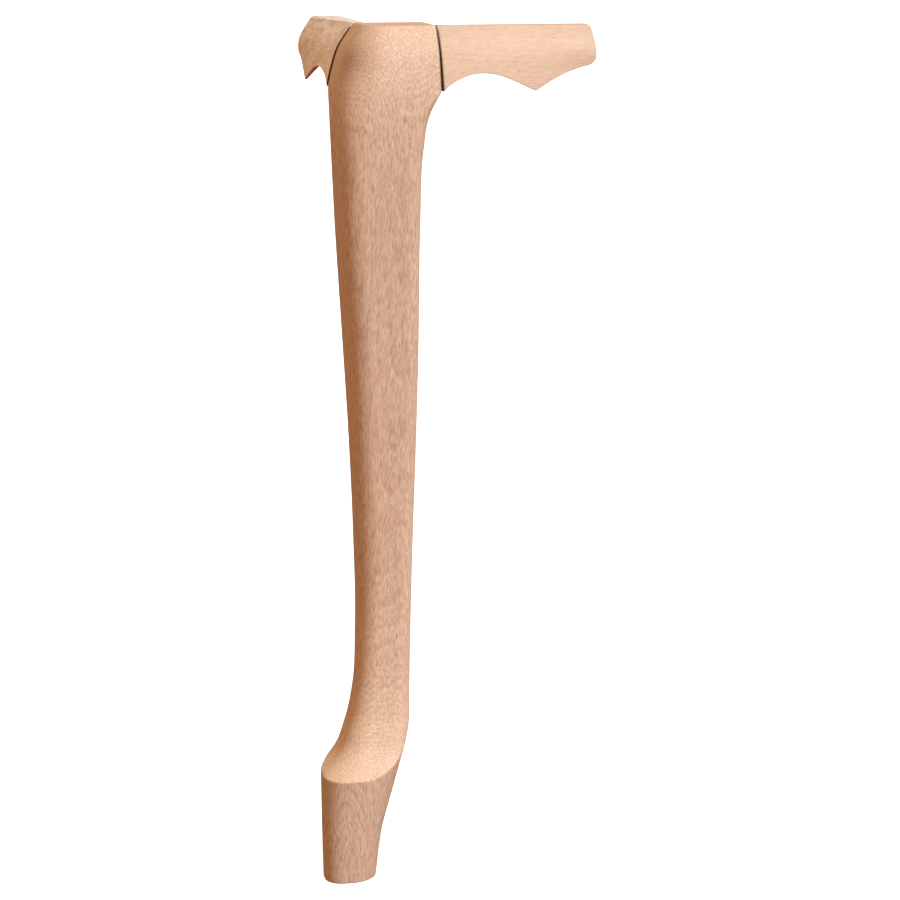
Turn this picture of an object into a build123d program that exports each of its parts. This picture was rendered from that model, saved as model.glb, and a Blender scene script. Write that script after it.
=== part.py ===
from build123d import *
import os

import numpy as np

# Wooden table leg in raw beech.
# A cabriole leg, cut from one square blank: square post, rounded knee, curved shank, slim ankle and
# hoof foot. Two scalloped ears stand on the post's two inner faces, each on a pair of fluted dowels.
#
# Frame, in millimetres: Z up, origin on the post's top face, on the axis of the leg's pattern.
# The right ear runs along +X and the left ear along +Y. The knee and the toe point to (-X, -Y).
# Every horizontal section is a square with rounded corners, symmetric about the plane x = y, so
# its two outer faces lie at -out and its two inner faces at +inn, on X and on Y alike.

# Driving dimensions of the leg
LEG_HEIGHT = 715.0
POST_FACE = 40.0        # the post's two inner faces, from the axis
POST_LENGTH = 52.4      # from the top down to the foot of the joint faces

# Side pattern of the leg: depth below the top, outer line, inner line, toe corner and side corner
# radius. Above the post's foot the inner line runs on past POST_FACE, where the joint cuts it.
LEG_PATTERN = (
    (0.0, 18.0, 64.0, 16.0, 1.0),       # top edge
    (18.5, 30.5, 57.0, 17.0, 1.0),      # brow
    (38.0, 37.2, 47.5, 15.0, 1.5),
    (POST_LENGTH, 40.4, 40.0, 14.0, 2.0),
    (POST_LENGTH + 18.0, 42.2, 31.5, 13.5, 8.0),    # knee
    (98.5, 42.6, 27.0, 14.0, 13.0),
    (158.5, 40.6, 24.6, 14.0, 14.0),    # calf
    (258.5, 35.0, 24.0, 14.0, 14.0),
    (338.5, 30.7, 22.6, 14.0, 14.0),    # shank
    (419.0, 27.9, 20.2, 14.0, 14.0),
    (510.0, 27.2, 17.7, 14.0, 14.0),    # ankle
    (560.0, 30.4, 16.2, 15.0, 15.0),
    (590.0, 38.0, 14.5, 17.0, 17.0),    # instep
    (612.0, 49.0, 10.5, 20.0, 20.0),
    (630.0, 69.0, 7.5, 25.0, 25.0),     # runs out past the hoof's rim
)

# Side pattern of the hoof: height above the floor, outer line, inner line
HOOF_PATTERN = (
    (0.0, 63.5, -18.5),
    (40.0, 64.0, -12.4),
    (80.0, 63.4, 0.2),
    (120.0, 62.6, 12.9),
    (145.0, 62.0, 20.5),                # runs out past the heel
)
# Corner radii of the hoof, as shares of its width
HOOF_TOE_SHARE = 0.33
HOOF_SIDE_SHARE = 0.53
HOOF_HEEL_SHARE = 0.43
FLOOR_EASE = 0.8            # chamfer on the edge that meets the floor

# Driving dimensions of the ears
EAR_LENGTH = 128.0          # from the post's face to the free end
EAR_BACK = -9.0             # flat back face, measured from the axis
EAR_STOCK = 6.0             # stock behind and above the ear, before its back and top are cut flat
# Swell of an ear's face over the leg's outer line, at its point and at its free end,
# for each row of the leg's pattern from the top down to the knee
EAR_SWELL = (
    (10.0, 15.8),
    (10.5, 13.9),
    (9.0, 8.2),
    (7.2, 5.0),
    (5.8, 3.2),
)
# Scallop of the lower edge: distance from the post's face, depth below the top
ARCH_CROWN = (35.4, 37.9)
EAR_POINT = (77.0, 52.2)
END_RUN = 9.0               # stretch before the free end where the lower edge runs out
END_DEPTH = 32.6
POINT_RISE = 0.41           # slope of the edge on the arch's side of the point
COVE_RISE = 0.70            # slope on the other side
COVE_RUNOUT = 0.22          # slope where the cove runs out
POINT_EASE = 2.5            # rounding of the point
END_CORNER = 9.0            # rounding of the free end's lower corner
EDGE_LAND = 1.5             # square edge left at the point, before its back is cut away

# Joints between the ears and the post: how far each stands open, at the top and at its foot
LEFT_GAP = (0.4, 0.4)
RIGHT_GAP = (0.5, 1.8)

# Fluted dowels
DOWEL_DIAMETER = 8.0
DOWEL_LENGTH = 40.0
DOWEL_CHAMFER = 0.8
DOWEL_CLEARANCE = 0.1       # around the dowel in its holes
DOWEL_END_ROOM = 1.0        # glue room at the bottom of each hole
DOWEL_LINE = -17.0          # centre line of the dowels, from the axis
DOWEL_DEPTHS = {"upper": 12.0, "lower": 31.0}
FLUTES = 10
FLUTE_DEPTH = 0.4
FLUTE_WIDTH = 0.9

# Spacing of the sections that the leg and the hoof are lofted through, the fewest steps between
# two rows of a pattern, and how many steps one loft spans
LEG_PITCH = 15.0
HOOF_PITCH = 25.0
FEWEST_STEPS = 3
STRETCH = 3

# Room around a piece for the waste that the cuts take away
WASTE = 60.0


def section(depth, out, inn, toe, side, heel):
    """A horizontal rounded square at a depth below the top."""
    middle = (inn - out) / 2
    half = (inn + out) / 2
    corners = (
        (-1, -1, toe, 180),
        (1, -1, side, 270),
        (1, 1, heel, 0),
        (-1, 1, side, 90),
    )
    arcs = []
    for sign_x, sign_y, radius, start in corners:
        centre = (middle + sign_x * (half - radius), middle + sign_y * (half - radius))
        arcs.append(CenterArc(centre, radius, start, 90))
    edges = []
    for arc, following in zip(arcs, arcs[1:] + arcs[:1]):
        edges.append(arc)
        edges.append(Line(arc @ 1, following @ 0))
    return Pos(0, 0, -depth) * make_face(Wire(edges))


def smooth_rows(rows, pitch):
    """Rows at about a given pitch on the smooth curve through the given rows.

    The first column runs along the curve. Between two rows every other column is the cubic that
    has their values, and at each of them the slope of its neighbours on both sides.
    """
    table = np.array(rows, dtype=float)
    along, values = table[:, 0], table[:, 1:]
    slopes = np.gradient(values, along, axis=0)
    result = [(along[0], *values[0])]
    for index in range(len(along) - 1):
        span = along[index + 1] - along[index]
        steps = max(FEWEST_STEPS, round(span / pitch))
        for step in range(1, steps + 1):
            share = step / steps
            rising = share * share * (3 - 2 * share)
            leaving = share * (1 - share) ** 2 * span
            arriving = share * share * (share - 1) * span
            value = values[index] * (1 - rising) + values[index + 1] * rising
            value = value + slopes[index] * leaving + slopes[index + 1] * arriving
            result.append((along[index] + share * span, *value))
    return result


def stacked_loft(sections):
    """A solid through level sections, lofted in short stretches so that it can't bulge between them."""
    faces = [sections[0], sections[-1]]
    for start in range(0, len(sections) - 1, STRETCH):
        stretch = loft(sections[start : start + STRETCH + 1])
        faces += [face for face in stretch.faces() if abs(face.normal_at().Z) < 0.999]
    return Solid(Shell(faces))


def leg_blank():
    """The leg down to its instep, with the foot's stock still standing below."""
    sections = []
    for depth, out, inn, toe, side in smooth_rows(LEG_PATTERN, LEG_PITCH):
        sections.append(section(depth, out, inn, toe, side, min(toe, side)))
    limb = stacked_loft(sections)
    lowest, reach = LEG_PATTERN[-1][0], LEG_PATTERN[-1][1]
    foot_stock = Pos(0, 0, -LEG_HEIGHT) * Box(
        2 * reach + WASTE,
        2 * reach + WASTE,
        LEG_HEIGHT - lowest,
        align=(Align.CENTER, Align.CENTER, Align.MIN),
    )
    return limb + foot_stock


def hoof():
    """The tapered hoof, running up past the rim that it cuts into the instep."""
    sections = []
    for height, out, inn in smooth_rows(HOOF_PATTERN, HOOF_PITCH):
        width = out + inn
        toe = HOOF_TOE_SHARE * width
        side = HOOF_SIDE_SHARE * width
        heel = HOOF_HEEL_SHARE * width
        sections.append(section(LEG_HEIGHT - height, out, inn, toe, side, heel))
    return stacked_loft(sections)


def foot_waste():
    """What is cut away around the hoof."""
    top = HOOF_PATTERN[-1][0]
    stock = Pos(0, 0, -LEG_HEIGHT) * Box(
        2 * LEG_PATTERN[-1][1] + 2 * WASTE,
        2 * LEG_PATTERN[-1][1] + 2 * WASTE,
        top,
        align=(Align.CENTER, Align.CENTER, Align.MIN),
    )
    return stock - hoof()


def mirrored(shape):
    """The same shape on the leg's other side, with X and Y changed over."""
    return shape.mirror(Plane((0, 0, 0), x_dir=(0, 0, 1), z_dir=(1, -1, 0)))


def dowel_hole(depth):
    """The hole along X that the post and the right ear share for one dowel."""
    radius = DOWEL_DIAMETER / 2 + DOWEL_CLEARANCE
    length = DOWEL_LENGTH + 2 * DOWEL_END_ROOM
    return Pos(POST_FACE, DOWEL_LINE, -depth) * Rot(0, 90, 0) * Cylinder(radius, length)


def dowel(depth):
    """A fluted dowel with chamfered ends, half in the post and half in the right ear."""
    radius = DOWEL_DIAMETER / 2
    groove = Polygon((radius - FLUTE_DEPTH, 0), (radius + FLUTE_DEPTH, FLUTE_WIDTH),
                     (radius + FLUTE_DEPTH, -FLUTE_WIDTH), align=None)
    end = Circle(radius) - PolarLocations(0, FLUTES) * groove
    fluted = extrude(end, DOWEL_LENGTH / 2, both=True)
    rounded = Cylinder(radius, DOWEL_LENGTH)
    rounded = chamfer(rounded.edges().filter_by(GeomType.CIRCLE), DOWEL_CHAMFER)
    return Pos(POST_FACE, DOWEL_LINE, -depth) * Rot(0, 90, 0) * (fluted & rounded)


def make_leg():
    """The leg, with the post's two joint faces cut and bored."""
    leg = leg_blank() - foot_waste()
    leg = chamfer(leg.faces().sort_by(Axis.Z)[0].edges(), FLOOR_EASE)
    kept = Box(
        WASTE * 4,
        WASTE * 4,
        LEG_HEIGHT,
        align=(Align.MAX, Align.MAX, Align.MAX),
    )
    leg &= Pos(POST_FACE, POST_FACE, 0) * kept
    for depth in DOWEL_DEPTHS.values():
        hole = dowel_hole(depth)
        leg = leg - hole - mirrored(hole)
    return leg


def ear_section(distance, swell):
    """A section across the right ear, at a distance from the post's face."""
    rows = LEG_PATTERN[: len(EAR_SWELL)]
    face = [(-out - extra, -depth) for (depth, out, *_), extra in zip(rows, swell)]
    behind, above = EAR_BACK + EAR_STOCK, EAR_STOCK
    lowest = face[-1][1]
    front = Spline(*face)
    rest = Polyline(face[-1], (behind, lowest), (behind, above), (face[0][0], above), face[0])
    return Plane.YZ.offset(POST_FACE + distance) * make_face(front + rest)


def scallop(lowered):
    """The curves of the lower edge, from the post's foot to where the cove runs out.

    Each of its four knots can be lowered by an amount of its own.
    """
    knots = (
        (0, POST_LENGTH),
        ARCH_CROWN,
        EAR_POINT,
        (EAR_LENGTH - END_RUN, END_DEPTH),
    )
    foot, crown, point, runout = [
        (along, -depth - extra) for (along, depth), extra in zip(knots, lowered)
    ]
    arch = TangentArc(crown, foot, tangent=(-1, 0))
    shoulder = Spline(crown, point, tangents=[(1, 0), (1, -POINT_RISE)])
    cove = Spline(point, runout, tangents=[(1, COVE_RISE), (1, COVE_RUNOUT)])
    return arch, shoulder, cove


def ear_pattern(gap):
    """The ear's outline on its back's plane, with its joint edge standing open by the gap."""
    gap_top, gap_foot = gap
    curves = scallop((0, 0, 0, 0))
    foot, point, runout = curves[0] @ 1, curves[1] @ 1, curves[2] @ 1
    corner = Vector(EAR_LENGTH, runout.Y + END_RUN * COVE_RUNOUT)
    outline = make_face([*curves, *Polyline(runout, corner, (EAR_LENGTH, 0), (0, 0), foot).edges()])
    for sharp, ease in ((point, POINT_EASE), (corner, END_CORNER)):
        outline = fillet(outline.vertices().sort_by_distance(sharp)[0], ease)
    open_joint = make_face(
        Polyline((-1, 0), (gap_top, 0), (gap_foot, -POST_LENGTH), (-1, -POST_LENGTH), close=True)
    )
    return Plane.XZ.offset(-EAR_BACK) * Pos(POST_FACE, 0) * (outline - open_joint)


def back_waste():
    """What is cut away behind the point, so that its edge looks thin.

    The cut starts at the land behind the ear's face and rises at 45 degrees to the level of the
    arch's crown. It is drawn on a plane in front of the ear and swept back, so that each knot of
    the scallop is lowered by the distance from that plane to where its own cut starts.
    """
    rows = LEG_PATTERN[: len(EAR_SWELL)]
    depths = [row[0] for row in rows]
    faces = [[row[1] for row in rows]]
    for swell in zip(*EAR_SWELL):
        faces.append([row[1] + extra for row, extra in zip(rows, swell)])
    knots = ((POST_LENGTH, 0), (ARCH_CROWN[1], 0), (EAR_POINT[1], 1), (END_DEPTH, 2))
    starts = [np.interp(depth, depths, faces[place]) - EDGE_LAND for depth, place in knots]
    front = max(starts)
    curves = scallop([front - start for start in starts])
    foot, runout = curves[0] @ 1, curves[2] @ 1
    past_end = Vector(EAR_LENGTH + END_RUN, runout.Y + 2 * END_RUN * COVE_RUNOUT)
    below = -2 * WASTE
    far = Polyline(runout, past_end, (past_end.X, below), (foot.X, below), foot)
    outline = make_face([*curves, *far.edges()])
    waste = Plane.XZ.offset(front) * Pos(POST_FACE, 0) * outline
    swept = extrude(waste, WASTE * 2**0.5, dir=(0, 1, 1))
    behind_point = Pos(POST_FACE + ARCH_CROWN[0], 0, -ARCH_CROWN[1]) * Box(
        WASTE * 4,
        WASTE * 4,
        WASTE * 4,
        align=(Align.MIN, Align.CENTER, Align.MAX),
    )
    return swept & behind_point


def make_right_ear(gap):
    """An ear along +X: lofted along its length, then cut to its pattern and bored."""
    at_point, at_end = zip(*EAR_SWELL)
    flush = (0.0,) * len(EAR_SWELL)
    body = loft(
        [
            ear_section(0, flush),
            ear_section(EAR_POINT[0], at_point),
            ear_section(EAR_LENGTH, at_end),
        ]
    )
    ear = (body & extrude(ear_pattern(gap), WASTE)) - back_waste()
    for depth in DOWEL_DEPTHS.values():
        ear -= dowel_hole(depth)
    return ear


pieces = {
    "leg": make_leg(),
    "right_ear": make_right_ear(RIGHT_GAP),
    "left_ear": mirrored(make_right_ear(LEFT_GAP)),
}
for place, depth in DOWEL_DEPTHS.items():
    pieces[f"right_ear_dowel_{place}"] = dowel(depth)
    pieces[f"left_ear_dowel_{place}"] = mirrored(dowel(depth))

os.makedirs("parts", exist_ok=True)
for name, piece in pieces.items():
    export_step(piece, f"parts/{name}.step")
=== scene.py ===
import bpy
import numpy as np
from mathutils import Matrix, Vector


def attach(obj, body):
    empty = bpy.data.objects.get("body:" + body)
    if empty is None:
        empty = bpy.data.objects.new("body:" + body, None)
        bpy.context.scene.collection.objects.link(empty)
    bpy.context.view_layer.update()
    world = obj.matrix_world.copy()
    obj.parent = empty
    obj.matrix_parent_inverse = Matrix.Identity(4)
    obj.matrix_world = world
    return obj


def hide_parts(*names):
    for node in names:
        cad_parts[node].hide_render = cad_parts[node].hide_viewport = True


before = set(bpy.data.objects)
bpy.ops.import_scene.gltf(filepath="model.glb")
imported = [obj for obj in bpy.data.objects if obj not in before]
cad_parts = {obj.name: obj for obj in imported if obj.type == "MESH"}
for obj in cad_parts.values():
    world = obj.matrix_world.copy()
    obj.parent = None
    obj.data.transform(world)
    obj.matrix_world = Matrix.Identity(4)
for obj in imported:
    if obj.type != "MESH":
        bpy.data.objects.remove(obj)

bl_info = {
    "name": "Beech Table Leg",
    "version": (1, 0, 0),
    "blender": (4, 5, 0),
    "location": "View3D > Sidebar > Table Leg",
    "description": "Builds a raw beech cabriole table leg with its ears, dowels, floor and light",
    "category": "Object",
}

# Lengths are millimetres, as on a workshop drawing: depths below the post's top face, and distances
# from the leg's axis. The meshes themselves are in metres.
MM = 0.001
LEG_HEIGHT = 715.0
# Joint faces of the post: their distance from the axis, and how far down they reach
POST_FACE = 40.0
POST_LENGTH = 52.4

# Side pattern of the leg: depth, outer line, inner line, toe corner and side corner radius
LEG_PATTERN = np.array(
    (
        (0.0, 18.0, 64.0, 20.0, 1.0),
        (18.5, 30.5, 57.0, 30.0, 1.0),
        (38.0, 37.2, 47.5, 32.0, 1.5),
        (POST_LENGTH, 40.4, 40.0, 30.0, 2.0),
        (POST_LENGTH + 18.0, 42.2, 31.5, 25.0, 8.0),
        (98.5, 42.6, 27.0, 21.0, 13.0),
        (158.5, 40.6, 24.6, 19.0, 14.0),
        (258.5, 35.0, 24.0, 18.5, 14.0),
        (338.5, 30.7, 22.6, 18.0, 14.0),
        (419.0, 27.9, 20.2, 17.5, 14.0),
        (510.0, 27.2, 17.7, 16.5, 14.0),
        (560.0, 30.4, 16.2, 15.0, 15.0),
        (590.0, 38.0, 14.5, 17.0, 17.0),
        (612.0, 49.0, 10.5, 20.0, 20.0),
        (630.0, 69.0, 7.5, 25.0, 25.0),
    )
)

# Side pattern of the hoof: height above the floor, outer line, inner line
HOOF_PATTERN = np.array(
    (
        (0.0, 63.5, -18.5),
        (40.0, 64.0, -12.4),
        (80.0, 63.4, 0.2),
        (120.0, 62.6, 12.9),
        (145.0, 62.0, 20.5),
    )
)
# Corner radii of the hoof at its toe, sides and heel, as shares of its width
HOOF_CORNERS = (0.33, 0.53, 0.43)
# Depth from which the hoof is shaped, softness of the edges between faces, and least corner radius
FOOT_DEPTH = 556.0
FACE_BLEND = 0.8
LEAST_RADIUS = 0.2
# How far above the post's foot its sharp corners start to open, and over what height they do
CORNER_START = 5.0
CORNER_RUN = 9.0

# Rows of the leg's skin: depth at which each stretch ends and its rows, then those of the hoof
LEG_STRETCHES = (
    (POST_LENGTH - 2.0, 27),
    (POST_LENGTH + 2.0, 16),
    (160.0, 51),
    (520.0, 89),
    (568.0, 23),
    (645.0, 139),
)
HOOF_ROWS = 33
# Columns of the leg's skin on each corner and on each side
ARC_STEPS = 20
SIDE_STEPS = 22
# Rows on each of the leg's two rounded edges, and insets of the rows inside its flat top and sole
LEG_EASE_ROWS = 5
TOP_INSETS = (7.0, 2.0)
SOLE_INSETS = (2.2, 7.0)

# Ears: length, place of the back, and swell of the face over the leg's outer line at the point and
# at the free end, for each of the first five rows of the leg's pattern
EAR_LENGTH = 128.0
EAR_BACK = -9.0
EAR_SWELL = np.array(((10.0, 15.8), (10.5, 13.9), (9.0, 8.2), (7.2, 5.0), (5.8, 3.2)))
# Scallop of the ears' lower edge: distance from the post and depth of the arch's crown and of the
# point, slopes on both sides of the point and at the free end, and softness of the point
ARCH_CROWN = (35.4, 37.9)
EAR_POINT = (77.0, 52.2)
POINT_RISE = 0.41
COVE_RISE = 0.70
COVE_RUNOUT = 0.22
POINT_BLEND = 1.6
# Free end: where the cove has run out, corner radius, lean of the upper part and its height, and
# how much more than elsewhere the top front edge is eased there
END_RUN = 9.0
END_DEPTH = 32.6
END_CORNER = 9.0
END_LEAN = 2.8
LEAN_HEIGHT = 24.0
BROW_EASE = 2.3
# Level land behind the scalloped edge, and easing at the joint as a share of that elsewhere
EDGE_LAND = 1.5
JOINT_EASE = 0.6

# Rows of an ear's skin: distance at which each stretch ends and its rows, then those of the end
EAR_STRETCHES = ((35.0, 27), (73.0, 33), (81.0, 21), (EAR_LENGTH - END_CORNER, 33))
END_ROWS = 15
# Rows on each rounded edge at an ear's ends, and insets of the rows inside its flat ends
EAR_EASE_ROWS = 4
JOINT_INSETS = (4.0, 1.4)
END_INSETS = (1.8, 4.0)
# Columns of an ear's skin: over its top, down its back, underneath, up its face, and on its edges
OVER_STEPS = 14
BACK_STEPS = 16
UNDER_STEPS = 34
FACE_STEPS = 46
EDGE_STEPS = 4
BROW_STEPS = 7
# Powers by which the columns underneath crowd towards the front, the gap and the step fade away
# from the joint, and the lean grows towards the free end
UNDER_CROWDING = 1.5
JOINT_FADE = 6
LEAN_GROWTH = 10

# Open joints: gap at the top and at the post's foot, how far the ear stands proud of the leg, and
# the painted shade of the gap, beside it on the leg and on the ear, each as its reach and its
# greatest strength
LEFT_JOINT = {"top": 0.8, "foot": 0.8, "step": 0.85, "leg_gap_shade": (1.9, 1.0), "ear_gap_shade": (1.85, 0.955)}
RIGHT_JOINT = {"top": 0.6, "foot": 1.7, "step": 0.0, "leg_gap_shade": (1.2, 0.7), "ear_gap_shade": (1.0, 0.7)}
# Depth at which the painted shade of the joints ends, and how far it stays in front of the
# ears' backs
GAP_SHADE_END = POST_LENGTH + 0.5
GAP_SHADE_FRONT = 12.0
# How far the ears are darkened towards their tops, and the depth by which that has faded out; how
# far the hoof is darkened below its rim, and how far inside the instep's line the hoof has its
# whole darkening
TOP_SHADE = 0.14
TOP_SHADE_DEPTH = 34.0
HOOF_SHADE = 0.12
HOOF_SHADE_FULL = 3.0
# How far the saw has darkened the cut tops
SAWN_SHADE = 0.26
# Painted shade on the knee's toe corner at its upper left: middle (x, y, depth), spread and strength
KNEE_SHADE_MIDDLE = (-31.0, -17.0, 26.0)
KNEE_SHADE_SPREAD = 13.0
KNEE_SHADE = 0.28

# Edges sharper than this many degrees are not smoothed over
SHARP_ANGLE = 32

# How each piece lay in the tree: turn of its grain in degrees, place off the pith, gap between
# growth rings, depth of the figure and strength of the blotches
LEG_WOOD = ((-4.5, -3.4, 0.0), (-21.0, -14.0, 0.0), 1.6, 0.82, 0.10)
RIGHT_EAR_WOOD = ((0.0, -88.0, 1.5), (60.0, 95.0, 400.0), 3.1, 0.34, 0.18)
LEFT_EAR_WOOD = ((87.0, 0.0, 2.0), (70.0, 40.0, 900.0), 2.6, 0.7, 1.6)
DOWEL_TURNS = {"right": (0.0, -90.0, 0.0), "left": (90.0, 0.0, 0.0)}
DOWEL_WOOD = ((12.0, 30.0, 90.0), 1.5, 0.8, 0.2)

# Noises in the wood: waves to the millimetre across and along the grain, detail, roughness and
# offset, which keeps them apart
WANDER = (0.020, 0.0040, 2.0, 0.6, 0.0)
RIPPLE = (0.16, 0.012, 2.0, 0.6, 7.0)
FIBRE = (0.70, 0.075, 3.0, 0.65, 0.0)
HAIR = (1.15, 0.17, 2.0, 0.6, 3.0)
PORE = (1.25, 0.21, 2.0, 0.5, 11.0)
FLECK = (0.75, 0.30, 1.0, 0.5, 23.0)
DASH = (0.95, 0.135, 1.0, 0.5, 53.0)
DRIFT = (0.030, 0.0085, 2.0, 0.5, 31.0)
CLOUD = (0.11, 0.055, 3.0, 0.6, 41.0)
# Noise values between which a pore, a fleck and a dash set in
PORE_LIMITS = (0.06, 0.20)
FLECK_LIMITS = (0.19, 0.27)
DASH_LIMITS = (-0.08, 0.08)
# Span in millimetres over which the slow wander and the ripple can bend a growth ring
WANDER_REACH = 6.0
RIPPLE_REACH = 0.5
# Shade of a growth ring at the turn of the year, and at shares of the year in between
NEW_YEAR_SHADE = 0.62
YEAR_SHADES = ((0.45, 0.50), (0.82, 0.28), (0.93, 0.78))
# Tone of plain wood between the dark one at 0 and the pale one at 1, and what each mark adds to it
PLAIN_TONE = 0.62
FIBRE_TONE = 0.9
HAIR_TONE = 1.2
DASH_TONE = 0.36
PORE_TONE = -0.40
RING_TONE = 0.70
FLECK_TONE = -0.40
DRIFT_TONE = 0.30
# Colour of the stain and painted shade, roughness of plain wood and what a pore adds to it, gloss
# of wood without stain or painted shade, and its index of refraction
STAIN_AND_SHADE_COLOUR = (0.045, 0.016, 0.010)
WOOD_ROUGHNESS = 0.60
PORE_ROUGHNESS = 0.10
WOOD_GLOSS = 0.30
WOOD_IOR = 1.45
# Height of the raised fibres, what a pore adds to it as a share, and how strongly it shows
FIBRE_HEIGHT = 0.15 * MM
PORE_HEIGHT = -0.7
BUMP_STRENGTH = 0.25

# Half width of the floor and distance of the key lamp, in metres
FLOOR_REACH = 80.0
LAMP_DISTANCE = 3.0
# The photograph's camera: place in metres, turn in degrees, lens and sensor width in millimetres,
# and how many metres it sees
CAMERA_PLACE = (-0.40021, -2.16102, 0.11042)
CAMERA_TURN = (78.039, 0.0, -11.9)
CAMERA_LENS = 106.42
CAMERA_SENSOR = 36.0
CAMERA_SIGHT = 300.0


def smooth_share(share):
    """A share from 0 to 1 that starts and ends level, with a steady rise in the middle."""
    return share * share * (3 - 2 * share)


def cubic_between(share, span, values, slopes):
    """The cubic over a span that has the two values and the two slopes at its ends."""
    rising = smooth_share(share)
    value = values[0] * (1 - rising) + values[1] * rising
    value = value + slopes[0] * share * (1 - share) ** 2 * span
    return value + slopes[1] * share * share * (share - 1) * span


def curve_through(knots, values, at):
    """Values along a pattern, at the places given.

    Between two knots each column is the cubic that has their values and, at each of them, the
    slope of the pattern there. Outside the knots it runs on straight with the end slope.
    """
    slopes = np.gradient(values, knots, axis=0)
    inside = np.clip(at, knots[0], knots[-1])
    low = np.clip(np.searchsorted(knots, inside, side="right") - 1, 0, len(knots) - 2)
    span = (knots[low + 1] - knots[low])[..., None]
    share = (inside - knots[low])[..., None] / span
    ends = (values[low], values[low + 1]), (slopes[low], slopes[low + 1])
    value = cubic_between(share, span, *ends)
    before = np.minimum(at - knots[0], 0)[..., None]
    after = np.maximum(at - knots[-1], 0)[..., None]
    return value + slopes[0] * before + slopes[-1] * after


def soft_least(first, second, reach):
    """The smaller of two lengths, rounded over where they differ by less than the reach.

    It is the smaller one less a quarter of the reach times the square of how near they are, where
    near runs from 0 at a difference of the whole reach to 1 where both are equal.
    """
    near = np.clip(reach - np.abs(first - second), 0, None) / reach
    return np.minimum(first, second) - near * near * reach / 4


def crowded_ends(count):
    """Shares from 0 to 1 on a half cosine wave, closer together towards both ends."""
    return 0.5 - 0.5 * np.cos(np.pi * np.linspace(0, 1, count + 1))


def places_along(start, stretches):
    """Places from just past the start on, evenly spaced within each stretch (its end, count)."""
    places = []
    for finish, count in stretches:
        places.append(np.linspace(start, finish, count + 1)[1:])
        start = finish
    return np.concatenate(places)


def rounded_square(out, inn, toe, side, heel):
    """Level rounded squares, one to a row, as X and Y arrays of rows by points.

    Each square runs from -out to +inn on X and on Y alike. Its corners are quarter circles of the
    radii toe at (-X, -Y), heel at (+X, +Y) and side at the other two, joined by straight sides.
    Points run anticlockwise seen from above, and are closer together at the corners.
    """
    middle = (inn - out) / 2
    half = (inn + out) / 2
    turn = np.linspace(0, np.pi / 2, ARC_STEPS + 1)
    along = crowded_ends(SIDE_STEPS)[1:-1]
    corners = ((-1, -1, toe, 2), (1, -1, side, 3), (1, 1, heel, 0), (-1, 1, side, 1))
    arcs_x = []
    arcs_y = []
    for sign_x, sign_y, radius, quarter in corners:
        angle = quarter * np.pi / 2 + turn
        centre_x = (middle + sign_x * (half - radius))[:, None]
        centre_y = (middle + sign_y * (half - radius))[:, None]
        arcs_x.append(centre_x + radius[:, None] * np.cos(angle))
        arcs_y.append(centre_y + radius[:, None] * np.sin(angle))
    loops = ([], [])
    for index in range(4):
        for loop, arcs in zip(loops, (arcs_x, arcs_y)):
            start = arcs[index][:, -1:]
            finish = arcs[(index + 1) % 4][:, :1]
            loop.append(arcs[index])
            loop.append(start + (finish - start) * along)
    return np.hstack(loops[0]), np.hstack(loops[1])


def reach_of_square(centre, aim_x, aim_y, out, inn, toe, side, heel):
    """Distance from a centre on the line x = y to a rounded square's edge, along level rays.

    A ray meets the nearer of the sides that it heads for. Where that meeting lies in a corner,
    past the ends of both straight sides, the ray's meeting with the corner's circle replaces it.
    """
    middle = (inn - out) / 2
    half = (inn + out) / 2
    start = centre - middle
    safe_x = np.where(np.abs(aim_x) < 1e-9, 1e-9, aim_x)
    safe_y = np.where(np.abs(aim_y) < 1e-9, 1e-9, aim_y)
    to_x = (np.sign(safe_x) * half - start) / safe_x
    to_y = (np.sign(safe_y) * half - start) / safe_y
    distance = np.minimum(to_x, to_y)
    hit_x = start + distance * aim_x
    hit_y = start + distance * aim_y
    for sign_x, sign_y, radius in ((-1, -1, toe), (1, -1, side), (1, 1, heel), (-1, 1, side)):
        pin_x = sign_x * (half - radius)
        pin_y = sign_y * (half - radius)
        beyond = (sign_x * (hit_x - pin_x) > 0) & (sign_y * (hit_y - pin_y) > 0)
        along = aim_x * (start - pin_x) + aim_y * (start - pin_y)
        rest = (start - pin_x) ** 2 + (start - pin_y) ** 2 - radius**2
        to_arc = np.sqrt(np.maximum(along**2 - rest, 0)) - along
        distance = np.where(beyond, to_arc, distance)
    return distance


def leg_rows(edge_ease, floor_ease):
    """Depth and inset of each row of the leg's skin, from the middle of its top to its sole.

    The two edges are quarter circles of depth against inset. The first and last two rows lie
    inside the flat ends. Rows are closest at the post's foot and round the hoof's rim.
    """
    turn = np.linspace(0, np.pi / 2, LEG_EASE_ROWS + 1)
    body = places_along(edge_ease, (*LEG_STRETCHES, (LEG_HEIGHT - floor_ease, HOOF_ROWS)))
    top_depth = edge_ease * (1 - np.cos(turn))
    top_inset = edge_ease * (1 - np.sin(turn))
    floor_depth = LEG_HEIGHT - floor_ease * (1 - np.sin(turn[1:]))
    floor_inset = floor_ease * (1 - np.cos(turn[1:]))
    depth = np.concatenate(((0, 0), top_depth, body, floor_depth, (LEG_HEIGHT, LEG_HEIGHT)))
    inset = np.concatenate((TOP_INSETS, top_inset, 0 * body, floor_inset, SOLE_INSETS))
    return depth, inset


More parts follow.
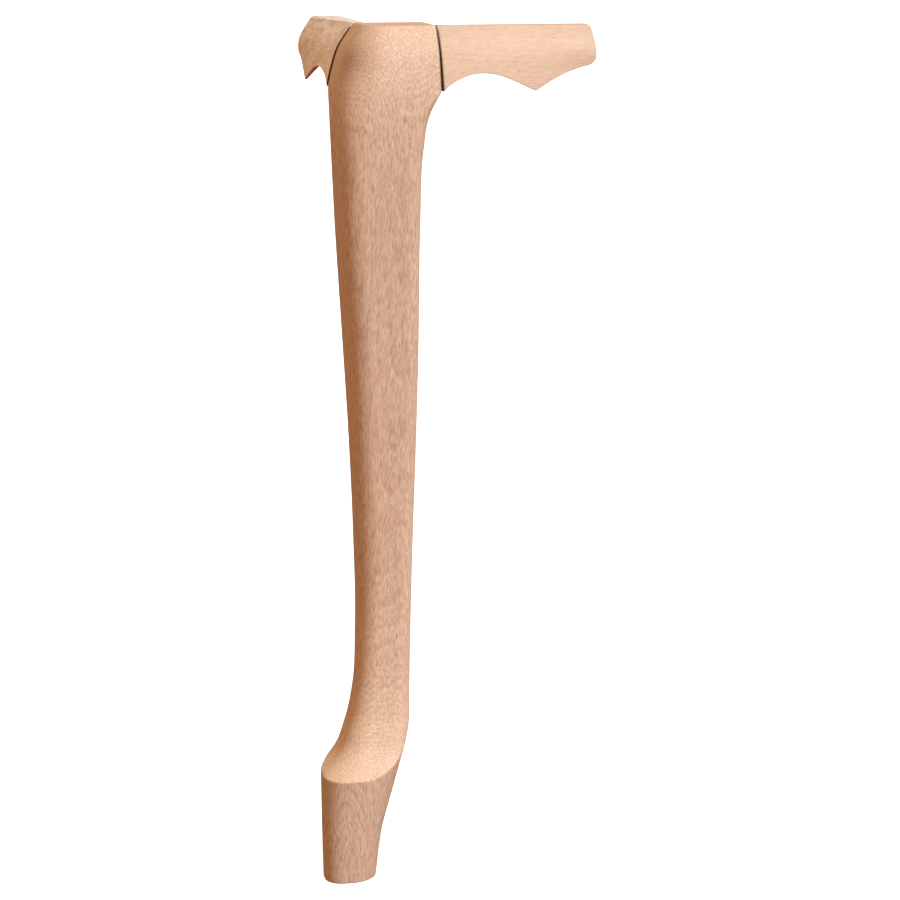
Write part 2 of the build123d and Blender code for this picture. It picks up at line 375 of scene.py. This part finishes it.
def leg_skin(edge_ease, rim_ease, floor_ease):
    """Points of the leg's skin as an array of rows by columns by (x, y, z), in millimetres.

    Each row is a level rounded square from the side pattern. Above the post's foot its inner line
    is held at the joint faces, and its side and heel corners are nearly sharp. Where the foot
    begins, each column runs straight down at the angle it has there, and its distance from the
    row's middle is the smaller one of the instep's and the hoof's, softly rounded where they
    cross: that crossing is the rim. The second array is the stain and painted shade: painted
    shade of the open joints, strong beside them, by the level distance to the joint's outer edge;
    slight darkening on the cut top and on the hoof below its rim; and a painted shade on the
    knee's toe corner, which fades as a bell curve of the distance from its middle.
    """
    depth, inset = leg_rows(edge_ease, floor_ease)
    knots, columns = LEG_PATTERN[:, 0], LEG_PATTERN[:, 1:]
    lowest = knots[-1]
    out, inn, toe, side = curve_through(knots, columns, np.minimum(depth, lowest)).T
    inn = soft_least(inn, POST_FACE + 0 * inn, FACE_BLEND)
    below_post = np.clip((depth - POST_LENGTH + CORNER_START) / CORNER_RUN, 0, 1)
    side = edge_ease + (side - edge_ease) * smooth_share(below_post)
    heel = np.minimum(toe, side)
    x, y = rounded_square(
        out - inset,
        inn - inset,
        np.maximum(toe - inset, LEAST_RADIUS),
        np.maximum(side - inset, LEAST_RADIUS),
        np.maximum(heel - inset, LEAST_RADIUS),
    )

    foot = depth > FOOT_DEPTH
    limb = [values[foot, None] for values in (out, inn, toe, side, heel)]
    height = LEG_HEIGHT - depth[foot]
    hoof_out, hoof_inn = curve_through(HOOF_PATTERN[:, 0], HOOF_PATTERN[:, 1:], height).T[..., None]
    width = hoof_out + hoof_inn
    hoof = [hoof_out, hoof_inn] + [width * share for share in HOOF_CORNERS]
    middle = (np.minimum(limb[1], hoof_inn) - np.minimum(limb[0], hoof_out)) / 2
    first = np.argmax(foot)
    aim = np.arctan2(y[first] - middle[0], x[first] - middle[0])[None, :]
    aim_x, aim_y = np.cos(aim), np.sin(aim)
    to_limb = reach_of_square(middle, aim_x, aim_y, *limb)
    to_hoof = reach_of_square(middle, aim_x, aim_y, *hoof)
    to_skin = soft_least(to_limb, to_hoof, rim_ease) - inset[foot, None]
    x[foot] = middle + to_skin * aim_x
    y[foot] = middle + to_skin * aim_y

    depth = depth[:, None]
    edge = out[:, None]
    stain_and_shade = 0 * x
    # Painted shade of the open joints, darkest beside each gap and fading over its reach
    for joint, across, forward in ((RIGHT_JOINT, x, y), (LEFT_JOINT, y, x)):
        reach, strength = joint["leg_gap_shade"]
        from_seam = abs(POST_FACE - across) + abs(forward + edge)
        stain_and_shade = np.maximum(stain_and_shade, np.clip(reach - from_seam, 0, strength) * (depth < GAP_SHADE_END))
    stain_and_shade = np.maximum(stain_and_shade, SAWN_SHADE * (depth < edge_ease / 2))
    # Painted shade on the knee's toe corner, fading as a bell curve from its middle
    from_knee_shade = (x - KNEE_SHADE_MIDDLE[0]) ** 2 + (y - KNEE_SHADE_MIDDLE[1]) ** 2
    from_knee_shade = from_knee_shade + (depth - KNEE_SHADE_MIDDLE[2]) ** 2
    stain_and_shade = np.maximum(stain_and_shade, KNEE_SHADE * np.exp(-from_knee_shade / (2 * KNEE_SHADE_SPREAD**2)))
    # Darker on the hoof below its rim, in full where it lies well inside the instep's line
    stain_and_shade[foot] = HOOF_SHADE * np.clip((to_limb - to_hoof) / HOOF_SHADE_FULL, 0, 1)
    return np.stack((x, y, -depth + 0 * x), axis=-1), stain_and_shade


def ear_edge(along):
    """Depth of the ear's lower edge at distances from the post.

    From the post's foot to the crown it is a circle that is level at the crown. From there to the
    point, and from the point to where the cove runs out, it is a cubic with set slopes at its
    ends, and past that it is straight. A circle round the free end's lower corner takes over
    where it touches that straight.
    """
    crown_along, crown_depth = ARCH_CROWN
    point_along = EAR_POINT[0]
    runout = (EAR_LENGTH - END_RUN, END_DEPTH)
    rise = POST_LENGTH - crown_depth
    radius = (crown_along**2 + rise**2) / (2 * rise)

    def cubic(start, finish, slopes):
        span = finish[0] - start[0]
        share = np.clip((along - start[0]) / span, 0, 1)
        return cubic_between(share, span, (start[1], finish[1]), slopes)

    arch = crown_depth + radius
    arch = arch - np.sqrt(radius**2 - np.clip(crown_along - along, 0, crown_along) ** 2)
    past = along - point_along
    shoulder = cubic(ARCH_CROWN, EAR_POINT, (0, POINT_RISE)) + POINT_RISE * np.maximum(past, 0)
    cove = cubic(EAR_POINT, runout, (-COVE_RISE, -COVE_RUNOUT))
    cove = cove - COVE_RISE * np.minimum(past, 0)
    cove = cove - COVE_RUNOUT * np.maximum(along - runout[0], 0)
    scallop = soft_least(np.where(along < crown_along, arch, shoulder), cove, POINT_BLEND)
    lean = np.sqrt(1 + COVE_RUNOUT**2)
    pin_along = EAR_LENGTH - END_CORNER
    pin_depth = END_DEPTH - COVE_RUNOUT * (pin_along - runout[0]) - END_CORNER * lean
    touch = pin_along + END_CORNER * COVE_RUNOUT / lean
    reach = np.clip(along - pin_along, 0, END_CORNER)
    corner = pin_depth + np.sqrt(END_CORNER**2 - reach**2)
    return np.where(along > touch, corner, scallop)


def ear_rows(edge_ease):
    """Distance from the post and inset of each row of an ear's skin, from joint to free end.

    Rows are closest at the point, and follow a quarter circle round the free end. The two ends
    have quarter circles of distance against inset, and two rows inside the flat ends.
    """
    turn = np.linspace(0, np.pi / 2, EAR_EASE_ROWS + 1)
    joint_ease = edge_ease * JOINT_EASE
    round_end = np.linspace(0, np.arcsin(1 - edge_ease / END_CORNER), END_ROWS + 1)[1:]
    end_rows = EAR_LENGTH - END_CORNER + END_CORNER * np.sin(round_end)
    body = np.concatenate((places_along(joint_ease, EAR_STRETCHES), end_rows))
    start = joint_ease * (1 - np.cos(turn))
    start_inset = joint_ease * (1 - np.sin(turn))
    finish = EAR_LENGTH - edge_ease * (1 - np.sin(turn[1:]))
    finish_inset = edge_ease * (1 - np.cos(turn[1:]))
    along = np.concatenate(((0, 0), start, body, finish, (EAR_LENGTH, EAR_LENGTH)))
    inset = np.concatenate((JOINT_INSETS, start_inset, 0 * body, finish_inset, END_INSETS))
    return along, inset


def eased_corner(start, bend, finish, steps):
    """Points between start and finish on the quadratic curve that heads for the bend from both."""
    share = np.linspace(0, 1, steps + 1)[1:-1]
    return (1 - share) ** 2 * start + 2 * share * (1 - share) * bend + share**2 * finish


def ear_skin(joint, ease):
    """Points of the right ear's skin as rows by columns by (x, y, z), in millimetres.

    Across a row, y is the real part and z the imaginary part of one complex loop: back over the
    top, down the flat back, forward under the ear and up its face. The face lies at the leg's
    outer line plus the swell, which is quadratic in the distance from the post: nothing at the
    joint, and the table's values at the point and at the end. The step by which it stands proud
    is added, times a power of how near the joint is. Underneath, past the crown, a narrow
    level land is followed by a rise of 45 degrees up to the crown's level. The whole ear is moved
    off the joint by the open gap times the same power, and near the free end's top it is
    drawn back by the lean, so that the end bulges. The second array is the stain and painted
    shade: painted shade of the open joint, strong at the joint, a slight darkening towards the
    top, and the saw's darkening on the cut top.
    """
    along, inset = (values[:, None] for values in ear_rows(ease))
    by_joint = (1 - along / EAR_LENGTH) ** JOINT_FADE
    knots = LEG_PATTERN[:, 0]

    def face(depth):
        outer = curve_through(knots, LEG_PATTERN[:, 1:2], depth)[..., 0]
        swell = curve_through(knots[: len(EAR_SWELL)], EAR_SWELL, depth)
        near, far = EAR_POINT[0], EAR_LENGTH
        at_point = swell[..., 0] * along * (far - along) / (near * (far - near))
        at_end = swell[..., 1] * along * (along - near) / (far * (far - near))
        return inset - outer - at_point - at_end - joint["step"] * by_joint

    back = EAR_BACK - inset
    lower = ear_edge(along) - inset
    past_crown = along > ARCH_CROWN[0]
    rise = np.where(past_crown, np.maximum(lower - ARCH_CROWN[1], 0), 0)
    behind = lower - rise
    top_front, low_front = face(inset), face(lower)
    brow = ease + BROW_EASE * (along / EAR_LENGTH) ** 2
    over = (top_front + brow) - 1j * inset, (back - ease) - 1j * inset
    rear = back - 1j * (inset + ease), back - 1j * (behind - ease)
    under = (back - ease) - 1j * behind, (low_front + ease) - 1j * lower
    run_under = np.linspace(1, 0, UNDER_STEPS) ** UNDER_CROWDING
    y_under = under[1].real + (under[0].real - under[1].real) * run_under
    climb = -soft_least(0 * y_under, low_front + EDGE_LAND - y_under, FACE_BLEND)
    climb = np.clip(soft_least(climb, rise + 0 * y_under, FACE_BLEND), 0, rise)
    depth = lower - ease - (lower - inset - ease - brow) * crowded_ends(FACE_STEPS)
    front = face(depth) - 1j * depth
    loop = np.hstack(
        (
            over[0] + (over[1] - over[0]) * crowded_ends(OVER_STEPS),
            eased_corner(over[1], back - 1j * inset, rear[0], EDGE_STEPS),
            rear[0] + (rear[1] - rear[0]) * crowded_ends(BACK_STEPS),
            eased_corner(rear[1], back - 1j * behind, under[0], EDGE_STEPS),
            y_under - 1j * (lower - climb),
            eased_corner(under[1], low_front - 1j * lower, front[:, :1], EDGE_STEPS),
            front,
            eased_corner(front[:, -1:], top_front - 1j * inset, over[0], BROW_STEPS),
        )
    )
    y, z = loop.real, loop.imag
    gap = joint["top"] + (joint["foot"] - joint["top"]) * np.clip(-z / POST_LENGTH, 0, 1)
    x = POST_FACE + along + gap * by_joint
    lean = np.clip(1 + z / LEAN_HEIGHT, 0, 1) ** 2
    x = x - END_LEAN * lean * (along / EAR_LENGTH) ** LEAN_GROWTH
    # Painted shade of the open joint on the ear's end beside the gap
    reach, strength = joint["ear_gap_shade"]
    stain_and_shade = np.clip(reach - along, 0, strength) * (y < EAR_BACK - GAP_SHADE_FRONT)
    stain_and_shade = np.maximum(stain_and_shade, TOP_SHADE * np.clip(1 + z / TOP_SHADE_DEPTH, 0, 1))
    stain_and_shade = np.maximum(stain_and_shade, SAWN_SHADE * (z > -ease / 2))
    return np.stack((x, y, z), axis=-1), stain_and_shade


def wooden_piece(name, skin, stain_and_shade):
    """A closed piece from a grid of points in millimetres, whose columns join round.

    Each grid cell becomes a four-sided face, and the first and last rows are closed with one flat
    face each. Where the enclosed volume comes out negative, all faces are turned over. The stain
    and painted shade go with the points as an attribute.
    """
    rows, columns = skin.shape[:2]
    points = (skin * MM).reshape(-1, 3)
    index = np.arange(rows * columns).reshape(rows, columns)
    following = np.roll(index, -1, axis=1)
    quads = np.stack((index[:-1], index[1:], following[1:], following[:-1]), axis=-1)
    quads = quads.reshape(-1, 4)
    corner = [points[quads[:, place]] for place in range(4)]
    volume = np.sum(corner[0] * np.cross(corner[1], corner[2]))
    volume += np.sum(corner[0] * np.cross(corner[2], corner[3]))
    first, last = index[0], index[-1][::-1]
    if volume < 0:
        quads, first, last = quads[:, ::-1], first[::-1], last[::-1]
    mesh = bpy.data.meshes.new(name)
    mesh.from_pydata(points.tolist(), [], [*quads.tolist(), first.tolist(), last.tolist()])
    shade = mesh.attributes.new("stain_and_shade", "FLOAT", "POINT")
    shade.data.foreach_set("value", stain_and_shade.ravel().astype(np.float32))
    mesh.shade_smooth()
    mesh.set_sharp_from_angle(angle=np.radians(SHARP_ANGLE))
    piece = bpy.data.objects.new(name, mesh)
    bpy.context.collection.objects.link(piece)
    return piece


def shader_node(tree, kind, inputs=(), **settings):
    """Adds a node, sets it, and joins or fills its inputs, given as (place, value) pairs."""
    node = tree.nodes.new(kind)
    for setting, value in settings.items():
        setattr(node, setting, value)
    for place, value in inputs:
        if isinstance(value, bpy.types.NodeSocket):
            tree.links.new(value, node.inputs[place])
        else:
            node.inputs[place].default_value = value
    return node


def worked_out(tree, operation, *values):
    """The result of a Math node."""
    node = shader_node(tree, "ShaderNodeMath", enumerate(values), operation=operation)
    return node.outputs[0]


def worked_out_place(tree, operation, *values):
    """A Vector Math node, whose first output is a place and whose Value is a length."""
    return shader_node(tree, "ShaderNodeVectorMath", enumerate(values), operation=operation)


def wood_noise(tree, place, noise):
    """One of the wood's noises, centred on 0: the place times its waves, plus its offset."""
    across, along, detail, roughness, offset = noise
    waves = (across, across, along)
    scaled = worked_out_place(tree, "MULTIPLY_ADD", place, waves, (offset, offset, offset))
    texture = shader_node(
        tree,
        "ShaderNodeTexNoise",
        (
            ("Vector", scaled.outputs[0]),
            ("Scale", 1.0),
            ("Detail", detail),
            ("Roughness", roughness),
        ),
    )
    return worked_out(tree, "SUBTRACT", texture.outputs[0], 0.5)


def smooth_step(tree, value, limits, low=0.0, high=1.0):
    """Low up to the first limit, high from the second one on, and a smooth rise between them."""
    node = shader_node(
        tree,
        "ShaderNodeMapRange",
        (
            ("Value", value),
            ("From Min", limits[0]),
            ("From Max", limits[1]),
            ("To Min", low),
            ("To Max", high),
        ),
        interpolation_type="SMOOTHSTEP",
    )
    return node.outputs[0]


def ring_shade(tree, place, ring_gap):
    """Shade of the growth rings, centred on 0.

    The distance from the pith, bent by a slow wander and a ripple and divided by the ring gap,
    counts the years. What is left of the count is the share of the year, which picks the shade.
    """
    level = worked_out_place(tree, "MULTIPLY", place, (1.0, 1.0, 0.0)).outputs[0]
    radius = worked_out_place(tree, "LENGTH", level).outputs["Value"]
    for noise, reach in ((WANDER, WANDER_REACH), (RIPPLE, RIPPLE_REACH)):
        radius = worked_out(tree, "MULTIPLY_ADD", wood_noise(tree, place, noise), reach, radius)
    year = worked_out(tree, "DIVIDE", radius, ring_gap)
    season = worked_out(tree, "FRACT", year)
    ring = shader_node(tree, "ShaderNodeValToRGB", ((0, season),))
    stops = ring.color_ramp.elements
    for stop in stops:
        stop.color = (NEW_YEAR_SHADE, NEW_YEAR_SHADE, NEW_YEAR_SHADE, 1.0)
    for share, shade in YEAR_SHADES:
        stops.new(share).color = (shade, shade, shade, 1.0)
    return worked_out(tree, "SUBTRACT", ring.outputs[0], 0.5)


def blend(tree, share, first, second):
    """The first colour at a share of 0, and the second one at 1."""
    node = shader_node(
        tree,
        "ShaderNodeMix",
        ((0, share), (6, first), (7, second)),
        data_type="RGBA",
        clamp_factor=True,
    )
    return node.outputs[2]


def beech(name, dark, pale, turn, pith, ring_gap, figure_depth, blotch):
    """Raw sanded beech, worked out from where each point lay in the tree.

    The place in the piece, in millimetres, is turned until the grain runs along its Z, and set
    off from the pith. Growth rings, fibres, hairs, dashes and pores add up to the figure. The
    figure times its depth, ray flecks, a slow drift and blotches make the tone, which picks a
    colour between the dark and the pale one. The mesh's own stain and painted shade darken and
    dull it.
    """
    material = bpy.data.materials.new(name)
    material.use_nodes = True
    tree = material.node_tree
    tree.nodes.clear()
    object_place = shader_node(tree, "ShaderNodeTexCoord").outputs["Object"]
    mapping = shader_node(
        tree,
        "ShaderNodeMapping",
        (
            ("Vector", object_place),
            ("Location", pith),
            ("Rotation", tuple(np.radians(turn))),
            ("Scale", (1 / MM, 1 / MM, 1 / MM)),
        ),
    )
    place = mapping.outputs[0]

    fibre = wood_noise(tree, place, FIBRE)
    pore = smooth_step(tree, wood_noise(tree, place, PORE), PORE_LIMITS)
    figure = worked_out(tree, "MULTIPLY", fibre, FIBRE_TONE)
    marks = (
        (wood_noise(tree, place, HAIR), HAIR_TONE),
        (smooth_step(tree, wood_noise(tree, place, DASH), DASH_LIMITS, -0.5, 0.5), DASH_TONE),
        (pore, PORE_TONE),
        (ring_shade(tree, place, ring_gap), RING_TONE),
    )
    for mark, strength in marks:
        figure = worked_out(tree, "MULTIPLY_ADD", mark, strength, figure)
    tone = worked_out(tree, "MULTIPLY_ADD", figure, figure_depth, PLAIN_TONE)
    marks = (
        (smooth_step(tree, wood_noise(tree, place, FLECK), FLECK_LIMITS), FLECK_TONE),
        (wood_noise(tree, place, DRIFT), DRIFT_TONE),
        (wood_noise(tree, place, CLOUD), blotch),
    )
    for mark, strength in marks:
        tone = worked_out(tree, "MULTIPLY_ADD", mark, strength, tone)

    # Stain and painted shade from the mesh's attribute darken the colour and dull the gloss
    stain_and_shade = shader_node(tree, "ShaderNodeAttribute", attribute_name="stain_and_shade").outputs["Fac"]
    colour = blend(tree, tone, (*dark, 1.0), (*pale, 1.0))
    colour = blend(tree, stain_and_shade, colour, (*STAIN_AND_SHADE_COLOUR, 1.0))
    height = worked_out(tree, "MULTIPLY_ADD", pore, PORE_HEIGHT, fibre)
    bump = shader_node(
        tree,
        "ShaderNodeBump",
        (("Strength", BUMP_STRENGTH), ("Distance", FIBRE_HEIGHT), ("Height", height)),
    )
    surface = shader_node(
        tree,
        "ShaderNodeBsdfPrincipled",
        (
            ("Base Color", colour),
            ("Roughness", worked_out(tree, "MULTIPLY_ADD", pore, PORE_ROUGHNESS, WOOD_ROUGHNESS)),
            ("Normal", bump.outputs[0]),
            ("IOR", WOOD_IOR),
            ("Specular IOR Level", worked_out(tree, "MULTIPLY_ADD", stain_and_shade, -WOOD_GLOSS, WOOD_GLOSS)),
        ),
    )
    output = shader_node(tree, "ShaderNodeOutputMaterial")
    tree.links.new(surface.outputs[0], output.inputs[0])
    return material


def studio_paper(colour, glow, bounce_colour):
    """A pale floor on a light table, which throws a set warm light back on the piece."""
    paper = bpy.data.materials.new("studio_paper")
    paper.use_nodes = True
    tree = paper.node_tree
    tree.nodes.clear()
    seen = shader_node(tree, "ShaderNodeLightPath").outputs["Is Camera Ray"]
    matt = shader_node(tree, "ShaderNodeBsdfDiffuse", ((0, (*colour, 1.0)),))
    shine = shader_node(tree, "ShaderNodeEmission", ((1, glow),))
    lit = shader_node(tree, "ShaderNodeAddShader", ((0, matt.outputs[0]), (1, shine.outputs[0])))
    bounce = shader_node(tree, "ShaderNodeEmission", ((0, (*bounce_colour, 1.0)), (1, 1.0)))
    either = shader_node(
        tree, "ShaderNodeMixShader", ((0, seen), (1, bounce.outputs[0]), (2, lit.outputs[0]))
    )
    output = shader_node(tree, "ShaderNodeOutputMaterial")
    tree.links.new(either.outputs[0], output.inputs[0])
    return paper


def studio_room(room_colour):
    """A world that looks white and lights the piece evenly in its own colour."""
    room = bpy.data.worlds.new("studio_room")
    room.use_nodes = True
    tree = room.node_tree
    tree.nodes.clear()
    seen = shader_node(tree, "ShaderNodeLightPath").outputs["Is Camera Ray"]
    white = shader_node(tree, "ShaderNodeBackground", ((0, (1.0, 1.0, 1.0, 1.0)), (1, 1.0)))
    light = shader_node(tree, "ShaderNodeBackground", ((0, (*room_colour, 1.0)), (1, 1.0)))
    either = shader_node(
        tree, "ShaderNodeMixShader", ((0, seen), (1, light.outputs[0]), (2, white.outputs[0]))
    )
    output = shader_node(tree, "ShaderNodeOutputWorld")
    tree.links.new(either.outputs[0], output.inputs[0])
    return room


class LegSettings(bpy.types.PropertyGroup):
    edge_ease: bpy.props.FloatProperty(
        name="Edge easing",
        description="Rounding that the sander leaves on the post's edges, in millimetres",
        default=0.45,
        min=0.2,
        max=1.5,
    )
    rim_ease: bpy.props.FloatProperty(
        name="Rim easing",
        description="How widely the hoof's rim is rounded over, in millimetres",
        default=1.3,
        min=0.5,
        max=6.0,
    )
    floor_ease: bpy.props.FloatProperty(
        name="Floor edge",
        description="Rounding of the edge that meets the floor, in millimetres",
        default=0.9,
        min=0.2,
        max=3.0,
    )
    dark: bpy.props.FloatVectorProperty(
        name="Dark tone",
        description="Colour of the leg's pores and late wood",
        subtype="COLOR",
        default=(0.345, 0.183, 0.110),
    )
    pale: bpy.props.FloatVectorProperty(
        name="Pale tone",
        description="Colour of the leg's early wood",
        subtype="COLOR",
        default=(0.615, 0.408, 0.284),
    )


class EarSettings(bpy.types.PropertyGroup):
    edge_ease: bpy.props.FloatProperty(
        name="Edge easing",
        description="Rounding of the ears' edges, in millimetres",
        default=0.7,
        min=0.2,
        max=1.5,
    )
    right_dark: bpy.props.FloatVectorProperty(
        name="Right ear, dark tone",
        description="Colour of the right ear's pores and late wood",
        subtype="COLOR",
        default=(0.38, 0.22, 0.14),
    )
    right_pale: bpy.props.FloatVectorProperty(
        name="Right ear, pale tone",
        description="Colour of the right ear's early wood",
        subtype="COLOR",
        default=(0.68, 0.470, 0.345),
    )
    # The left ear's tones are its paler wood and also painted lighter, as painted light on its face
    left_dark_and_lit: bpy.props.FloatVectorProperty(
        name="Left ear, dark tone",
        description="Colour of the left ear's darker blotches",
        subtype="COLOR",
        default=(0.48, 0.322, 0.260),
    )
    left_pale_and_lit: bpy.props.FloatVectorProperty(
        name="Left ear, pale tone",
        description="Colour of the left ear's paler wood",
        subtype="COLOR",
        default=(0.84, 0.672, 0.625),
    )


class DowelSettings(bpy.types.PropertyGroup):
    dark: bpy.props.FloatVectorProperty(
        name="Dark tone",
        description="Colour of the dowels' pores and late wood",
        subtype="COLOR",
        default=(0.36, 0.21, 0.13),
    )
    pale: bpy.props.FloatVectorProperty(
        name="Pale tone",
        description="Colour of the dowels' early wood",
        subtype="COLOR",
        default=(0.60, 0.41, 0.29),
    )


class StageSettings(bpy.types.PropertyGroup):
    floor_colour: bpy.props.FloatVectorProperty(
        name="Floor",
        description="Colour of the plain floor",
        subtype="COLOR",
        default=(0.50, 0.54, 0.60),
    )
    floor_glow: bpy.props.FloatProperty(
        name="Floor glow",
        description="How far the floor is lit from below, as a light table is",
        min=0.0,
        default=0.78,
    )
    bounce_colour: bpy.props.FloatVectorProperty(
        name="Floor light",
        description="Light that the floor throws back on the piece",
        subtype="COLOR",
        default=(0.29, 0.07, 0.03),
    )
    room_colour: bpy.props.FloatVectorProperty(
        name="Room light",
        description="Even warm light from all round",
        subtype="COLOR",
        default=(1.0, 0.755, 0.46),
    )
    key_strength: bpy.props.FloatProperty(
        name="Key light",
        description="Strength of the key lamp, in watts to the square metre",
        min=0.0,
        default=5.35,
    )
    key_colour: bpy.props.FloatVectorProperty(
        name="Key colour",
        description="Colour of the key lamp, as cool as daylight",
        subtype="COLOR",
        default=(0.655, 0.835, 1.0),
    )
    key_softness: bpy.props.FloatProperty(
        name="Key softness",
        description="Angle across the key lamp, as the piece sees it",
        subtype="ANGLE",
        default=0.35,
    )
    key_around: bpy.props.FloatProperty(
        name="Key direction",
        description="How far the key lamp stands round to the right of the front",
        subtype="ANGLE",
        default=0.63,
    )
    key_above: bpy.props.FloatProperty(
        name="Key height",
        description="How high the key lamp stands over the horizon",
        subtype="ANGLE",
        default=0.733,
    )


class TABLELEG_OT_leg(bpy.types.Operator):
    """Builds the leg's skin from its side pattern and dresses it in beech"""

    bl_idname = "tableleg.leg"
    bl_label = "Build the Leg"

    def execute(self, context):
        look = context.scene.tableleg_leg
        skin, stain_and_shade = leg_skin(look.edge_ease, look.rim_ease, look.floor_ease)
        leg = wooden_piece("cabriole_leg", skin, stain_and_shade)
        leg.data.materials.append(beech("leg_beech", look.dark, look.pale, *LEG_WOOD))
        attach(leg, "root")
        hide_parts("leg")
        return {"FINISHED"}


class TABLELEG_OT_ears(bpy.types.Operator):
    """Builds the two scalloped ears beside the post, mirror images but for their joints"""

    bl_idname = "tableleg.ears"
    bl_label = "Build the Ears"

    def execute(self, context):
        look = context.scene.tableleg_ears
        skin, stain_and_shade = ear_skin(RIGHT_JOINT, look.edge_ease)
        right = wooden_piece("scalloped_ear_right", skin, stain_and_shade)
        wood = beech("right_ear_beech", look.right_dark, look.right_pale, *RIGHT_EAR_WOOD)
        right.data.materials.append(wood)
        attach(right, "root")
        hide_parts("right_ear")
        skin, stain_and_shade = ear_skin(LEFT_JOINT, look.edge_ease)
        left = wooden_piece("scalloped_ear_left", skin[..., (1, 0, 2)], stain_and_shade)
        # Beech with the left ear's tones, painted lighter to stand in for light on its face
        wood = beech("left_ear_lit_beech", look.left_dark_and_lit, look.left_pale_and_lit, *LEFT_EAR_WOOD)
        left.data.materials.append(wood)
        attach(left, "root")
        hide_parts("left_ear")
        return {"FINISHED"}


class TABLELEG_OT_dowels(bpy.types.Operator):
    """Dresses the four fluted dowels inside the joints in turned beech"""

    bl_idname = "tableleg.dowels"
    bl_label = "Dress the Dowels"

    def execute(self, context):
        look = context.scene.tableleg_dowels
        for side, turn in DOWEL_TURNS.items():
            wood = beech(f"{side}_dowel_beech", look.dark, look.pale, turn, *DOWEL_WOOD)
            for place in ("upper", "lower"):
                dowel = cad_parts[f"{side}_ear_dowel_{place}"]
                for slot in dowel.material_slots:
                    slot.material = wood
        return {"FINISHED"}


class TABLELEG_OT_stage(bpy.types.Operator):
    """Lays the plain floor, hangs the soft lights and sets up the camera"""

    bl_idname = "tableleg.stage"
    bl_label = "Set the Stage"

    def execute(self, context):
        look = context.scene.tableleg_stage
        scene = context.scene
        scene.view_settings.view_transform = "Standard"

        signs = ((-1, -1), (1, -1), (1, 1), (-1, 1))
        level = -LEG_HEIGHT * MM
        corners = [(sign_x * FLOOR_REACH, sign_y * FLOOR_REACH, level) for sign_x, sign_y in signs]
        mesh = bpy.data.meshes.new("studio_floor")
        mesh.from_pydata(corners, [], [(0, 1, 2, 3)])
        floor = bpy.data.objects.new("studio_floor", mesh)
        context.collection.objects.link(floor)
        mesh.materials.append(studio_paper(look.floor_colour, look.floor_glow, look.bounce_colour))

        lamp = bpy.data.lights.new("key_light", "SUN")
        lamp.energy = look.key_strength
        lamp.color = look.key_colour
        lamp.angle = look.key_softness
        holder = bpy.data.objects.new("key_light", lamp)
        context.collection.objects.link(holder)
        around, above = look.key_around, look.key_above
        towards = Vector(
            (np.sin(around) * np.cos(above), -np.cos(around) * np.cos(above), np.sin(above))
        )
        holder.location = towards * LAMP_DISTANCE
        holder.rotation_euler = towards.to_track_quat("Z", "Y").to_euler()
        scene.world = studio_room(look.room_colour)

        lens = bpy.data.cameras.new("photo_camera")
        lens.lens = CAMERA_LENS
        lens.sensor_width = CAMERA_SENSOR
        lens.clip_end = CAMERA_SIGHT
        camera = bpy.data.objects.new("photo_camera", lens)
        context.collection.objects.link(camera)
        camera.location = CAMERA_PLACE
        camera.rotation_euler = np.radians(CAMERA_TURN)
        scene.camera = camera
        return {"FINISHED"}


class TABLELEG_PT_panel(bpy.types.Panel):
    """Lists the pieces of the table leg and their settings"""

    bl_idname = "TABLELEG_PT_panel"
    bl_label = "Table Leg"
    bl_space_type = "VIEW_3D"
    bl_region_type = "UI"
    bl_category = "Table Leg"

    def draw(self, context):
        scene = context.scene
        groups = (
            (TABLELEG_OT_leg, scene.tableleg_leg),
            (TABLELEG_OT_ears, scene.tableleg_ears),
            (TABLELEG_OT_dowels, scene.tableleg_dowels),
            (TABLELEG_OT_stage, scene.tableleg_stage),
        )
        for operator, settings in groups:
            box = self.layout.box()
            for name in settings.__annotations__:
                box.prop(settings, name)
            box.operator(operator.bl_idname)


CLASSES = (
    LegSettings,
    EarSettings,
    DowelSettings,
    StageSettings,
    TABLELEG_OT_leg,
    TABLELEG_OT_ears,
    TABLELEG_OT_dowels,
    TABLELEG_OT_stage,
    TABLELEG_PT_panel,
)


def register():
    for kind in CLASSES:
        bpy.utils.register_class(kind)
    bpy.types.Scene.tableleg_leg = bpy.props.PointerProperty(type=LegSettings)
    bpy.types.Scene.tableleg_ears = bpy.props.PointerProperty(type=EarSettings)
    bpy.types.Scene.tableleg_dowels = bpy.props.PointerProperty(type=DowelSettings)
    bpy.types.Scene.tableleg_stage = bpy.props.PointerProperty(type=StageSettings)


def unregister():
    del bpy.types.Scene.tableleg_stage
    del bpy.types.Scene.tableleg_dowels
    del bpy.types.Scene.tableleg_ears
    del bpy.types.Scene.tableleg_leg
    for kind in reversed(CLASSES):
        bpy.utils.unregister_class(kind)


def main():
    """Builds every piece and the stage."""
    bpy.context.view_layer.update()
    register()
    bpy.ops.tableleg.stage()
    bpy.ops.tableleg.leg()
    bpy.ops.tableleg.ears()
    bpy.ops.tableleg.dowels()
    bpy.context.view_layer.update()


if __name__ == "__main__":
    main()
